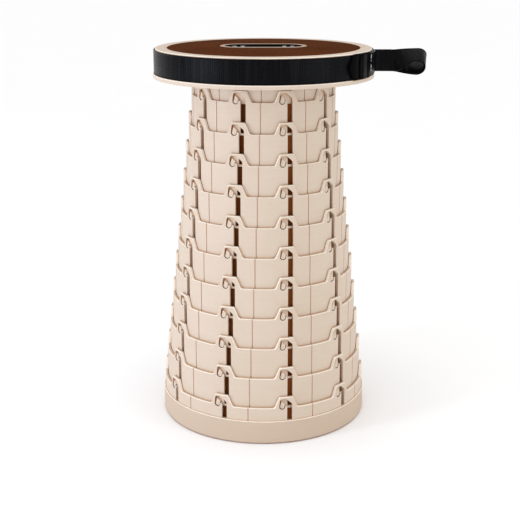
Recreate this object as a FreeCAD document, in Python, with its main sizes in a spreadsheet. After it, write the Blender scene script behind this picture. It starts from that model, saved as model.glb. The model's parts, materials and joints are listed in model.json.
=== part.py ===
"""Collapsible telescopic stool, drawn out to its full height.

Units are millimetres. Z is up, the floor is Z = 0 and the stool's axis is the Z axis.
The front of the stool faces -Y and its hand loop points to +X. An azimuth is measured
from -Y towards +X, so it grows to the right of somebody who looks at the front.

Twelve rings nest inside each other. Ring 00 is the collar that carries the seat, rings
01 to 10 are the moving rings and ring 11 is the base. The lugs of each ring sit in the
pockets of the next ring out.
"""
import FreeCAD, Part
import math
import os
from FreeCAD import Vector
from Sketcher import Constraint

UP = Vector(0, 0, 1)
ORIGIN = Vector(0, 0, 0)
FRONT_TO_X_AXIS = 270.0
MARGIN = 1.0
NEAR = 0.01

# Driving dimensions: name, value in mm or degrees or a count, and what it is.
DIMENSIONS = [
    ("ring_steps", 11, "rings outside the collar"),
    ("pitch", 35.0, "rise of each ring out of the next one"),
    ("ring_height", 50.0, "height of a ring, tab tops included"),
    ("collar_radius", 81.6, "outer radius of ring 00"),
    ("wall", 3.2, "wall of every ring"),
    ("ring_gap", 0.65, "radial gap between two rings"),
    ("columns", 10, "tabs round a ring"),
    ("first_azimuth", 21.0, "azimuth of a slot leg of ring 00's column"),
    ("twist_step", 0.61, "turn of each ring against the ring inside it"),
    ("tab_height", 13.0, "height of a tab above the valleys"),
    ("tab_left_foot", 17.4, "from the leg's centre line"),
    ("tab_left_top", 11.9, "from the leg's centre line"),
    ("tab_right_top", 3.7, "from the leg's centre line"),
    ("tab_right_foot", 9.6, "from the leg's centre line"),
    ("tab_corner", 2.5, "corner radius of a tab"),
    ("tab_foot_corner", 3.0, "radius where a tab meets the valley"),
    ("ring_edge_round", 0.9, "rounded upper edge of a ring's face"),
    ("slot_edge_round", 0.4, "rounded edge of a slot on a ring's face"),
    ("lug_edge_round", 0.6, "rounded edge of a lug's face"),
    ("leg_width", 6.2, "width of the slot's leg"),
    ("leg_corner", 0.6, "corner radius at the leg's lower end"),
    ("bottom_band", 2.3, "solid band under the leg"),
    ("slot_top", 2.3, "tab top to slot"),
    ("pocket_offset", 9.1, "leg centre to pocket centre"),
    ("pocket_width", 7.5, "width of the pocket"),
    ("pocket_depth", 15.2, "tab top to pocket bottom"),
    ("tongue_top", 9.9, "tab top to the tongue's high corner"),
    ("tongue_low", 12.9, "tab top to the tongue's low corner"),
    ("hook_shoulder", 6.3, "drop of the slot's right shoulder"),
    ("arch_start", 4.3, "leg centre to the arch's high end"),
    ("arch_corner", 2.6, "corner radius of the arch"),
    ("tongue_corner", 0.5, "corner radius of the tongue"),
    ("pocket_corner", 3.3, "corner radius of the pocket's lower end"),
    ("pocket_lean", 1.2, "lean of the pocket's left side"),
    ("lug_side_gap", 0.5, "gap between lug and pocket"),
    ("lug_peak", 5.2, "tab top of the outer ring to the lug's peak"),
    ("lug_peak_offset", 0.65, "lug's middle to its peak"),
    ("lug_corner", 2.6, "corner radius of the lug's lower end"),
    ("lug_reach", 2.25, "how far a lug reaches into the outer ring's wall"),
    ("relief_gap", 0.3, "clearance between lug and relief channel"),
    ("groove_width", 1.2, "vertical groove on a ring's face"),
    ("groove_depth", 0.7, "depth of that groove"),
    ("groove_azimuth", 13.35, "groove, from the leg's centre line"),
    ("base_floor", 7.4, "height of the base ring's inner rest"),
    ("band_radius", 125.5, "outer radius of the base band"),
    ("band_top", 28.5, "height of the base band"),
    ("band_bottom", 1.0, "gap under the base band"),
    ("band_top_round", 0.8, "rounded upper edge of the base band"),
    ("band_bottom_round", 1.5, "rounded lower edge of the base band"),
    ("ledge_thickness", 2.9, "ledge inside the base ring"),
    ("ledge_width", 10.85, "width of that ledge"),
    ("rest_gap", 0.4, "collapsed rings to the base plate"),
    ("plate_thickness", 2.8, "base plate"),
    ("plate_gap", 0.35, "base plate to the base ring"),
    ("plate_rib", 2.0, "thickness of a rib under the base plate"),
    ("plate_ribs", 12, "ribs under the base plate"),
    ("plate_hub_radius", 14.0, "boss in the middle of the base plate"),
    ("foot_count", 6, "rubber feet in a circle"),
    ("foot_radius", 4.8, "rubber foot"),
    ("foot_height", 2.2, "rubber foot"),
    ("base_screws", 6, "screws of the base plate"),
    ("base_screw_azimuth", 30.0, "first screw of the base plate"),
    ("base_hole_depth", 2.4, "blind holes in the ledge"),
    ("screw_shank", 1.5, "shank radius of every screw"),
    ("screw_head", 2.8, "head radius of every screw"),
    ("screw_head_height", 1.7, "head height of every screw"),
    ("screw_hole_gap", 0.1, "radial clearance round a shank"),
    ("screw_end_gap", 1.0, "screw's end to the bottom of its hole"),
    ("top_clearance", 0.6, "collapsed tabs to the seat plate"),
    ("seat_plate", 3.0, "thickness of the seat's top plate"),
    ("seat_bore_gap", 0.8, "base ring to the seat's side wall"),
    ("seat_wall", 2.3, "side wall of the seat"),
    ("flange_clearance", 0.9, "collapsed seat to the base band"),
    ("flange_height", 4.9, "lower flange of the seat"),
    ("flange_width", 3.35, "how far the flange stands out"),
    ("rim_round", 1.1, "rounded outer top edge of the rim"),
    ("flange_round", 1.2, "rounded edges of the flange"),
    ("pad_radius", 113.3, "leather pad"),
    ("pad_thickness", 2.4, "leather pad at its edge"),
    ("pad_crown", 1.2, "rise of the pad towards its middle"),
    ("pad_gap", 0.3, "round the pad"),
    ("notch_length", 5.0, "notches in the rim, left and right"),
    ("notch_width", 3.2, "notches in the rim"),
    ("notch_depth", 1.8, "notches in the rim"),
    ("collar_flange", 3.0, "inner flange of ring 00"),
    ("collar_flange_width", 13.0, "inner flange of ring 00"),
    ("seat_screws", 5, "screws between collar and seat"),
    ("seat_screw_circle", 70.5, "radius of the circle of seat screws"),
    ("boss_radius", 5.0, "screw boss under the seat plate"),
    ("boss_height", 12.0, "screw boss under the seat plate"),
    ("seat_screw_length", 12.0, "shank of a seat screw"),
    ("cup_length", 86.0, "inside length of the handle cup"),
    ("cup_width", 36.0, "inside width of the handle cup"),
    ("cup_wall", 2.2, "wall of the handle cup"),
    ("cup_depth", 24.0, "inside depth of the handle cup"),
    ("cup_drop", 1.0, "bezel top to cup edge"),
    ("cup_flange", 2.4, "flange of the cup under the seat plate"),
    ("cup_flange_width", 10.8, "flange of the cup under the seat plate"),
    ("cup_screw_x", 28.0, "cup screws"),
    ("cup_screw_y", 26.2, "cup screws"),
    ("cup_screw_length", 4.8, "cup screws"),
    ("cup_hole_depth", 2.4, "blind holes in the seat plate"),
    ("bezel_width", 6.0, "beige frame round the opening"),
    ("bezel_thickness", 4.0, "beige frame round the opening"),
    ("bezel_gap", 0.3, "cup to bezel and bezel to pad"),
    ("bezel_round", 0.6, "rounded top edges of the bezel"),
    ("finger_length", 39.0, "free length under the grip"),
    ("grip_width", 13.0, "handle grip"),
    ("grip_thickness", 5.0, "handle grip"),
    ("grip_drop", 1.6, "bezel top to grip top"),
    ("grip_end_gap", 0.3, "grip to cup"),
    ("grip_screw_inner", 24.5, "inner handle screw"),
    ("grip_screw_outer", 34.0, "outer handle screw"),
    ("grip_screw_length", 11.0, "shank of a handle screw"),
    ("strap_gap", 0.15, "webbing to seat"),
    ("strap_thickness", 2.0, "webbing"),
    ("strap_width", 27.5, "webbing round the seat"),
    ("strap_clearance", 0.2, "webbing to flange"),
    ("buckle_azimuth", 57.0, "middle of the buckle"),
    ("buckle_angle", 20.0, "angle that the buckle spans"),
    ("buckle_bar_angle", 4.5, "outer bars of the buckle"),
    ("buckle_middle_angle", 3.0, "middle bar of the buckle"),
    ("buckle_height", 29.6, "buckle"),
    ("buckle_rail", 1.8, "top and bottom rails of the buckle"),
    ("buckle_thickness", 2.6, "buckle"),
    ("buckle_gap", 0.3, "buckle to webbing"),
    ("tail_thickness", 1.8, "webbing in the buckle"),
    ("tail_width", 25.4, "webbing in the buckle and in the loop"),
    ("tail_leg_angle", 0.8, "webbing that passes through a slot of the buckle"),
    ("tail_bar_gap", 1.1, "angle between the middle bar and the webbing"),
    ("loop_reach", 192.0, "end of the hand loop, from the axis"),
    ("loop_belly", 11.0, "outer radius of the loop's end"),
    ("loop_neck", 2.0, "half thickness of the sewn neck"),
    ("loop_neck_length", 11.0, "sewn neck"),
    ("loop_tilt", 19.0, "tilt of the loop about its length"),
    ("loop_drop", 0.4, "middle of the webbing round the seat to the middle of the loop"),
]

doc = FreeCAD.newDocument("telescopic_stool")
sheet = doc.addObject("Spreadsheet::Sheet", "Sheet")
for row, (name, value, note) in enumerate(DIMENSIONS, start=1):
    sheet.set(f"A{row}", str(value))
    sheet.setAlias(f"A{row}", name)
    sheet.set(f"B{row}", note)
doc.recompute()


def size(name):
    """A driving dimension as a number."""
    return float(sheet.get(name))


# Heights and radii that several pieces share, as expressions on the sheet.
RING_STEP = "(Sheet.wall + Sheet.ring_gap)"
FULL_DROP = "(Sheet.ring_steps * Sheet.pitch)"
BASE_RADIUS = f"(Sheet.collar_radius + Sheet.ring_steps * {RING_STEP})"
PLATE_UNDER = f"(Sheet.base_floor + {FULL_DROP} + Sheet.ring_height + Sheet.top_clearance)"
PLATE_TOP = f"({PLATE_UNDER} + Sheet.seat_plate)"
RIM_TOP = f"({PLATE_TOP} + Sheet.pad_thickness)"
BEZEL_TOP = f"({PLATE_TOP} + Sheet.bezel_thickness)"
FLANGE_BOTTOM = f"(Sheet.band_top + {FULL_DROP} + Sheet.flange_clearance)"
FLANGE_TOP = f"({FLANGE_BOTTOM} + Sheet.flange_height)"
SEAT_BORE = f"({BASE_RADIUS} + Sheet.seat_bore_gap)"
SEAT_SIDE = f"({SEAT_BORE} + Sheet.seat_wall)"
STRAP_INSIDE = f"({SEAT_SIDE} + Sheet.strap_gap)"
STRAP_OUTSIDE = f"({STRAP_INSIDE} + Sheet.strap_thickness)"
STRAP_BOTTOM = f"({FLANGE_TOP} + Sheet.strap_clearance)"
STRAP_MIDDLE = f"({STRAP_BOTTOM} + Sheet.strap_width / 2)"
COLLAR_FLANGE_TOP = f"({PLATE_UNDER} - Sheet.boss_height)"
BASE_BORE = f"({BASE_RADIUS} - Sheet.wall)"
LEDGE_BORE = f"({BASE_BORE} - Sheet.ledge_width)"
LEDGE_TOP = "(Sheet.base_floor - Sheet.rest_gap)"
LEDGE_BOTTOM = f"({LEDGE_TOP} - Sheet.ledge_thickness)"
FOOT_CIRCLE = f"(({BASE_BORE} + {LEDGE_BORE}) / 2)"
HOLE = "(Sheet.screw_shank + Sheet.screw_hole_gap)"


def number(expression):
    """The value of an expression on the sheet, in mm or degrees."""
    value = sheet.evalExpression(expression)
    return float(getattr(value, "Value", value))


def bind(item, **expressions):
    """Binds properties of an object to expressions; two underscores stand for a dot."""
    for path, expression in expressions.items():
        item.setExpression(path.replace("__", "."), str(expression))
    return item


def place(item, x="0", y="0", z="0", turn=None):
    """Binds an object's place, and its turn about the vertical in degrees."""
    if turn is not None:
        item.Placement.Rotation = FreeCAD.Rotation(UP, 1.0)
        bind(item, Placement__Rotation__Angle=f"({turn}) * 1 deg")
    return bind(item, Placement__Base__x=x, Placement__Base__y=y, Placement__Base__z=z)


def cylinder(name, radius, height, x="0", y="0", z="0"):
    """An upright cylinder that stands on height z."""
    return place(bind(doc.addObject("Part::Cylinder", name), Radius=radius, Height=height), x, y, z)


def cone(name, low_radius, high_radius, height, x="0", y="0", z="0"):
    """An upright cone that stands on height z."""
    item = doc.addObject("Part::Cone", name)
    bind(item, Radius1=low_radius, Radius2=high_radius, Height=height)
    return place(item, x, y, z)


def sector(name, radius, height, azimuth, angle, z):
    """A slice of a cylinder that starts at an azimuth and spans an angle."""
    item = doc.addObject("Part::Cylinder", name)
    bind(item, Radius=radius, Height=height, Angle=f"({angle}) * 1 deg")
    return place(item, z=z, turn=f"{azimuth} + {FRONT_TO_X_AXIS}")


def box(name, length, width, height, x="0", y="0", z="0"):
    """A box centred on x and y that stands on height z."""
    item = bind(doc.addObject("Part::Box", name), Length=length, Width=width, Height=height)
    return place(item, f"{x} - ({length}) / 2", f"{y} - ({width}) / 2", z)


def cut(name, base, tool):
    """One object less another."""
    item = doc.addObject("Part::Cut", name)
    item.Base = base
    item.Tool = tool
    return item


def fuse(name, items):
    """Several touching objects as one solid."""
    item = doc.addObject("Part::MultiFuse", name)
    item.Shapes = items
    item.Refine = True
    return item


def rounded(name, base, radius, circles):
    """An object with its round edges at each (radius, height) rounded by a named radius."""
    item = doc.addObject("Part::Fillet", name)
    item.Base = base
    doc.recompute()
    wanted = [(number(across), number(up)) for across, up in circles]
    edges = []
    for position, edge in enumerate(base.Shape.Edges, start=1):
        start = edge.Vertexes[0].Point
        rim = (math.hypot(start.x, start.y), start.z)
        flat = abs(edge.Vertexes[-1].Point.z - start.z) < NEAR and abs(edge.BoundBox.ZLength) < NEAR
        if flat and any(math.dist(rim, circle) < NEAR for circle in wanted):
            edges.append((position, size(radius), size(radius)))
    item.Edges = edges
    return item


def group(name, items):
    """Several separate solids as one sub-part."""
    item = doc.addObject("Part::Compound", name)
    item.Links = items
    return item


def stadium(name, length, width, height, z):
    """An upright oblong with round ends, along X, centred on the axis."""
    reach = f"(({length}) - ({width})) / 2"
    middle = box(name + "_middle", f"({length}) - ({width})", width, height, z=z)
    left = cylinder(name + "_left", f"({width}) / 2", height, x=f"-{reach}", z=z)
    right = cylinder(name + "_right", f"({width}) / 2", height, x=reach, z=z)
    return fuse(name, [middle, left, right])


def curved_plate(name, inside, outside, height, azimuth, angle, z):
    """A slice of a tube wall."""
    full = sector(name + "_full", outside, height, azimuth, angle, z)
    bore = cylinder(name + "_bore", inside, height, z=z)
    return cut(name, full, bore)


def turned(name, corners):
    """A body turned about the axis from the corners (radius, height) of its section."""
    body = doc.addObject("PartDesign::Body", name)
    sketch = body.newObject("Sketcher::SketchObject", name + "_section")
    plane = next(item for item in body.Origin.OriginFeatures if item.Role == "XZ_Plane")
    sketch.AttachmentSupport = [(plane, "")]
    sketch.MapMode = "FlatFace"
    points = [Vector(number(across), number(up), 0) for across, up in corners]
    count = len(points)
    for index in range(count):
        sketch.addGeometry(Part.LineSegment(points[index], points[(index + 1) % count]), False)
    for index in range(count):
        sketch.addConstraint(Constraint("Coincident", index, 2, (index + 1) % count, 1))
    for index, (across, up) in enumerate(corners):
        for kind, amount in (("DistanceX", across), ("DistanceY", up)):
            if amount == "0" and kind == "DistanceX":
                sketch.addConstraint(Constraint("PointOnObject", index, 1, -2))
                continue
            added = sketch.addConstraint(Constraint(kind, -1, 1, index, 1, number(amount)))
            sketch.setExpression(f"Constraints[{added}]", amount)
    revolution = body.newObject("PartDesign::Revolution", name + "_turned")
    revolution.Profile = sketch
    revolution.ReferenceAxis = (sketch, ["V_Axis"])
    revolution.Angle = 360.0
    body.Tip = revolution
    return body


def round_outline(corners, radii, depth):
    """A closed wire of (across, up) corners in the plane Y = depth, with rounded corners."""
    count = len(corners)
    points = [Vector(across, depth, up) for across, up in corners]
    arcs = []
    for index, radius in enumerate(radii):
        corner = points[index]
        back = (points[index - 1] - corner).normalize()
        ahead = (points[(index + 1) % count] - corner).normalize()
        half = back.getAngle(ahead) / 2
        start = corner + back * (radius / math.tan(half))
        end = corner + ahead * (radius / math.tan(half))
        middle = corner + (back + ahead).normalize() * (radius / math.sin(half) - radius)
        arcs.append((start, middle, end))
    edges = []
    for index, (start, middle, end) in enumerate(arcs):
        if radii[index] > 0:
            edges.append(Part.Arc(start, middle, end).toShape())
        edges.append(Part.LineSegment(end, arcs[(index + 1) % count][0]).toShape())
    return Part.Wire(edges)


def turn(shape, azimuth):
    """A copy of a shape turned about the axis."""
    copy = shape.copy()
    copy.rotate(ORIGIN, UP, azimuth)
    return copy


def prism(wire, reach):
    """A flat outline carried towards the front by a length."""
    return Part.Face(wire).extrude(Vector(0, -reach, 0))


def edges_on(shape, radius, low, high, left=-math.inf, right=math.inf):
    """The edges of a shape that lie at a radius, between two heights and two x values."""
    found = []
    for edge in shape.Edges:
        spots = [vertex.Point for vertex in edge.Vertexes]
        spots.append(edge.valueAt((edge.FirstParameter + edge.LastParameter) / 2))
        if all(abs(math.hypot(spot.x, spot.y) - radius) < NEAR and low - NEAR <= spot.z <= high + NEAR
               and left <= spot.x <= right for spot in spots):
            found.append(edge)
    return found


def tube_sector(inside, outside, bottom, height, angle):
    """A slice of a tube wall, centred on the front."""
    slice_ = Part.makeCylinder(outside, height, Vector(0, 0, bottom), UP, angle)
    bore = Part.makeCylinder(inside, height, Vector(0, 0, bottom), UP, angle)
    return turn(slice_.cut(bore), FRONT_TO_X_AXIS - angle / 2)


def ring_radius(index):
    """Outer radius of a ring."""
    return size("collar_radius") + index * (size("wall") + size("ring_gap"))


def ring_bottom(index):
    """Height of a ring's lower edge."""
    return size("base_floor") + (size("ring_steps") - index) * size("pitch")


def ring_azimuth(index):
    """Azimuth of a ring's first slot leg."""
    return size("first_azimuth") - index * size("twist_step")


def pocket_azimuth(index):
    """Azimuth of a ring's first pocket."""
    middle_radius = ring_radius(index) - size("wall") / 2
    return ring_azimuth(index) - math.degrees(math.asin(size("pocket_offset") / middle_radius))


def valley_cutter(radius, top):
    """What lies above the valleys and outside the tab of one column."""
    wall = size("wall")
    height = size("tab_height")
    valley = top - height
    wing = size("tab_foot_corner")
    corners = [
        (-size("tab_left_foot") - wing, valley - MARGIN),
        (-size("tab_left_foot") - wing, valley),
        (-size("tab_left_foot"), valley),
        (-size("tab_left_top"), top),
        (size("tab_right_top"), top),
        (size("tab_right_foot"), valley),
        (size("tab_right_foot") + wing, valley),
        (size("tab_right_foot") + wing, valley - MARGIN),
    ]
    corner = size("tab_corner")
    radii = [0, 0, wing, corner, corner, wing, 0, 0]
    tab = prism(round_outline(corners, radii, -(radius - 2 * wall)), 3 * wall)
    angle = 360 / size("columns") + MARGIN
    band = tube_sector(radius - wall - MARGIN, radius + MARGIN, valley, height + MARGIN, angle)
    return band.cut(tab)


def slot_cutter(radius, top, leg_bottom):
    """The inverted-J slot of one column: a leg, an arch and a pocket."""
    wall = size("wall")
    half_leg = size("leg_width") / 2
    tongue_left = -size("pocket_offset") + size("pocket_width") / 2
    pocket_left = -size("pocket_offset") - size("pocket_width") / 2
    arch_top = top - size("slot_top")
    pocket_bottom = top - size("pocket_depth")
    corners = [
        (-half_leg, leg_bottom),
        (-half_leg, top - size("tongue_low")),
        (tongue_left, top - size("tongue_top")),
        (tongue_left, pocket_bottom),
        (pocket_left, pocket_bottom),
        (pocket_left + size("pocket_lean"), arch_top),
        (-size("arch_start"), arch_top),
        (half_leg, arch_top - size("hook_shoulder")),
        (half_leg, leg_bottom),
    ]
    leg_corner = size("leg_corner")
    tongue_corner = size("tongue_corner")
    pocket_corner = size("pocket_corner")
    radii = [
        leg_corner, tongue_corner, tongue_corner,
        pocket_corner, pocket_corner, size("arch_corner"),
        half_leg, half_leg, leg_corner,
    ]
    return prism(round_outline(corners, radii, -(radius - 2 * wall)), 3 * wall)


def relief_cutter(radius, bottom, top):
    """The channel inside the wall, below a pocket, that the inner ring's lug runs down."""
    lug_width = size("pocket_width") - 2 * size("lug_side_gap")
    width = lug_width + 2 * size("relief_gap")
    depth = size("lug_reach") + size("relief_gap")
    bore = radius - size("wall")
    pocket_middle = top - size("pocket_depth") + size("pocket_width") / 2
    corner = Vector(-width / 2, -(bore + depth), bottom - MARGIN)
    return Part.makeBox(width, depth + MARGIN, pocket_middle - bottom + MARGIN, corner)


def groove_cutter(radius, bottom, top):
    """The upright groove on a ring's face."""
    depth = size("groove_depth")
    width = size("groove_width")
    corner = Vector(-width / 2, -(radius + MARGIN), bottom - MARGIN)
    return Part.makeBox(width, depth + MARGIN, top - bottom + 2 * MARGIN, corner)


def lug(radius, outer_top):
    """One lug on a ring's face, shaped to fill the pocket of the ring outside it."""
    half_width = size("pocket_width") / 2 - size("lug_side_gap")
    bottom = outer_top - size("pocket_depth") + size("lug_side_gap")
    peak = outer_top - size("lug_peak")
    shoulder = outer_top - size("tongue_top") + size("lug_side_gap")
    corners = [
        (-half_width, bottom),
        (-size("lug_peak_offset"), peak),
        (half_width, shoulder),
        (half_width, bottom),
    ]
    round_corner = size("lug_corner")
    radii = [round_corner, size("lug_side_gap"), size("lug_side_gap"), round_corner]
    root = size("wall") / 4
    reach = size("ring_gap") + size("lug_reach")
    blank = prism(round_outline(corners, radii, -(radius - root)), root + reach)
    face_edges = [
        edge for edge in blank.Edges
        if all(abs(vertex.Point.y + radius + reach) < NEAR for vertex in edge.Vertexes)
    ]
    return blank.makeFillet(size("lug_edge_round"), face_edges)


def base_band_sector(radius, angle):
    """One sector of the band round the base and of the ledge inside it."""
    bottom = size("band_bottom")
    top = size("band_top")
    outside = size("band_radius")
    band = tube_sector(radius - size("wall"), outside, bottom, top - bottom, angle)
    band = band.makeFillet(size("band_top_round"), edges_on(band, outside, top, top))
    band = band.makeFillet(size("band_bottom_round"), edges_on(band, outside, bottom, bottom))
    ledge_bottom = number(LEDGE_BOTTOM)
    ledge_height = number(LEDGE_TOP) - ledge_bottom
    ledge = tube_sector(number(LEDGE_BORE), radius, ledge_bottom, ledge_height, angle)
    return [band, ledge]


def ring_shape(index):
    """A whole ring, from one column's sector repeated round the axis."""
    last = int(size("ring_steps"))
    columns = int(size("columns"))
    column_angle = 360 / columns
    radius = ring_radius(index)
    wall = size("wall")
    bottom = ring_bottom(index)
    top = bottom + size("ring_height")
    if index == 0:
        top = number(PLATE_UNDER)
    own_azimuth = ring_azimuth(index)

    sector_shape = tube_sector(radius - wall, radius, bottom, top - bottom, column_angle)
    if index > 0:
        valley = top - size("tab_height")
        sector_shape = sector_shape.cut(valley_cutter(radius, top))
        outline = edges_on(sector_shape, radius, valley, top)
        sector_shape = sector_shape.makeFillet(size("ring_edge_round"), outline)
    if index == last:
        sector_shape = sector_shape.fuse(base_band_sector(radius, column_angle)).removeSplitter()
    groove_bottom = bottom if index < last else size("band_top") + MARGIN
    tools = [turn(groove_cutter(radius, groove_bottom, top), size("groove_azimuth"))]
    if index > 0:
        leg_bottom = bottom + size("bottom_band")
        if index == last:
            leg_bottom = size("band_top")
        relief_bottom = bottom if index < last else bottom + MARGIN
        relief = relief_cutter(radius, relief_bottom, top)
        tools.append(slot_cutter(radius, top, leg_bottom))
        tools.append(turn(relief, pocket_azimuth(index) - own_azimuth))
    sector_shape = sector_shape.cut(tools)
    if 0 < index < last:
        pocket_left = -size("pocket_offset") - size("pocket_width") / 2 - NEAR
        slot_edges = edges_on(sector_shape, radius, leg_bottom, top - size("slot_top"),
                              pocket_left, size("leg_width") / 2 + NEAR)
        sector_shape = sector_shape.makeFillet(size("slot_edge_round"), slot_edges)
    if index < last:
        outer_top = ring_bottom(index + 1) + size("ring_height")
        one_lug = lug(radius, outer_top)
        sector_shape = sector_shape.fuse(turn(one_lug, pocket_azimuth(index + 1) - own_azimuth))
    copies = [turn(sector_shape, own_azimuth + column_angle * count) for count in range(columns)]
    ring = copies[0].fuse(copies[1:])
    return ring.Solids[0]


def ring(index):
    """The document object of a ring."""
    item = doc.addObject("Part::Feature", f"ring_{index:02d}_wall")
    item.Shape = ring_shape(index)
    return item


def around(count, radius, offset, piece):
    """Pieces placed round a circle; piece makes one from its number, x and y."""
    pieces = []
    for index in range(int(size(count))):
        angle = f"(({index} * 360 / Sheet.{count} + {offset}) * 1 deg)"
        pieces.append(piece(index, f"{radius} * sin({angle})", f"-{radius} * cos({angle})"))
    return pieces


COLLAR_BORE = "(Sheet.collar_radius - Sheet.wall)"


def collar_flange():
    """The inner flange of ring 00, with holes for the seat screws."""
    under = f"({COLLAR_FLANGE_TOP} - Sheet.collar_flange)"
    disc = cylinder("collar_flange_disc", COLLAR_BORE, "Sheet.collar_flange", z=under)
    opening = cylinder("collar_flange_opening", f"{COLLAR_BORE} - Sheet.collar_flange_width",
                       "Sheet.collar_flange", z=under)

    def hole(index, x, y):
        return cylinder(f"collar_hole_{index}", HOLE, "Sheet.collar_flange", x, y, under)

    holes = around("seat_screws", "Sheet.seat_screw_circle", 0, hole)
    return cut("collar_flange", disc, group("collar_flange_holes", [opening] + holes))


def base_ring():
    """Ring 11 with the base band, and blind holes for the base screws in its ledge."""
    def hole(index, x, y):
        return cylinder(f"base_ring_hole_{index}", HOLE, "Sheet.base_hole_depth", x, y, LEDGE_BOTTOM)

    screw_azimuth = "Sheet.base_screw_azimuth"
    holes = group("base_ring_holes", around("base_screws", FOOT_CIRCLE, screw_azimuth, hole))
    return cut("ring_11_base", ring(int(size("ring_steps"))), holes)


def base_plate():
    """The dished plate that closes the base, with ribs under it."""
    gap = "Sheet.plate_gap"
    top = LEDGE_TOP
    hub = f"({LEDGE_BORE} - {gap})"
    hub_under = f"({LEDGE_TOP} - Sheet.plate_thickness)"
    flange_under = f"({LEDGE_BOTTOM} - Sheet.plate_thickness)"
    step = f"({hub} - Sheet.plate_thickness)"
    body = turned("base_plate_dish", [
        ("0", top), (hub, top), (hub, LEDGE_BOTTOM),
        (f"{BASE_BORE} - {gap}", LEDGE_BOTTOM), (f"{BASE_BORE} - {gap}", flange_under),
        (step, flange_under), (step, hub_under), ("0", hub_under),
    ])
    ribs = [cylinder("base_plate_boss", "Sheet.plate_hub_radius",
                     f"{hub_under} - ({flange_under})", z=flange_under)]
    for index in range(int(size("plate_ribs") / 2)):
        rib = doc.addObject("Part::Box", f"base_plate_rib_{index}")
        length = f"2 * {step} + {MARGIN}"
        bind(rib, Length=length, Width="Sheet.plate_rib", Height=f"{hub_under} - ({flange_under})")
        angle = f"{index} * 360 / Sheet.plate_ribs"
        x = f"-({length}) / 2 * cos({angle} * 1 deg) + Sheet.plate_rib / 2 * sin({angle} * 1 deg)"
        y = f"-({length}) / 2 * sin({angle} * 1 deg) - Sheet.plate_rib / 2 * cos({angle} * 1 deg)"
        ribs.append(place(rib, x, y, flange_under, turn=angle))
    blank = fuse("base_plate_blank", [body] + ribs)
    recess_height = f"Sheet.foot_height - ({flange_under})"

    def foot_recess(index, x, y):
        return cylinder(f"foot_recess_{index}", "Sheet.foot_radius", recess_height, x, y, flange_under)

    def screw_hole(index, x, y):
        shank = cylinder(f"plate_hole_{index}", HOLE, "Sheet.plate_thickness", x, y, flange_under)
        sink = cone(f"plate_sink_{index}", "Sheet.screw_head + Sheet.screw_hole_gap", HOLE,
                    "Sheet.screw_head_height", x, y, flange_under)
        return fuse(f"plate_screw_hole_{index}", [shank, sink])

    recesses = around("foot_count", FOOT_CIRCLE, 0, foot_recess) + [foot_recess("middle", "0", "0")]
    holes = around("base_screws", FOOT_CIRCLE, "Sheet.base_screw_azimuth", screw_hole)
    return cut("base_plate", blank, group("base_plate_holes", recesses + holes))


def foot_pads():
    """Rubber feet in the recesses of the base plate, a circle of them and one in the middle."""
    def foot(index, x, y):
        return cylinder(f"foot_pad_{index}", "Sheet.foot_radius", "Sheet.foot_height", x, y)

    feet = around("foot_count", FOOT_CIRCLE, 0, foot) + [foot("middle", "0", "0")]
    return group("foot_pads", feet)


def base_screws():
    """Countersunk screws through the base plate into the ledge."""
    under = f"({LEDGE_BOTTOM} - Sheet.plate_thickness)"

    def screw(index, x, y):
        length = "Sheet.plate_thickness + Sheet.ledge_thickness - Sheet.screw_end_gap"
        shank = cylinder(f"base_screw_shank_{index}", "Sheet.screw_shank", length, x, y, under)
        head = cone(f"base_screw_head_{index}", "Sheet.screw_head", "Sheet.screw_shank",
                    "Sheet.screw_head_height", x, y, under)
        return fuse(f"base_screw_{index}", [shank, head])

    screw_azimuth = "Sheet.base_screw_azimuth"
    return group("base_screws", around("base_screws", FOOT_CIRCLE, screw_azimuth, screw))


def seat_skirt():
    """The seat's side wall and its lower flange."""
    flange = f"({SEAT_SIDE} + Sheet.flange_width)"
    body = turned("seat_skirt_turned", [
        (SEAT_BORE, PLATE_UNDER), (SEAT_BORE, FLANGE_BOTTOM), (flange, FLANGE_BOTTOM),
        (flange, FLANGE_TOP), (SEAT_SIDE, FLANGE_TOP), (SEAT_SIDE, PLATE_UNDER),
    ])
    return rounded("seat_skirt", body, "flange_round", [(flange, FLANGE_BOTTOM), (flange, FLANGE_TOP)])


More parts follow.
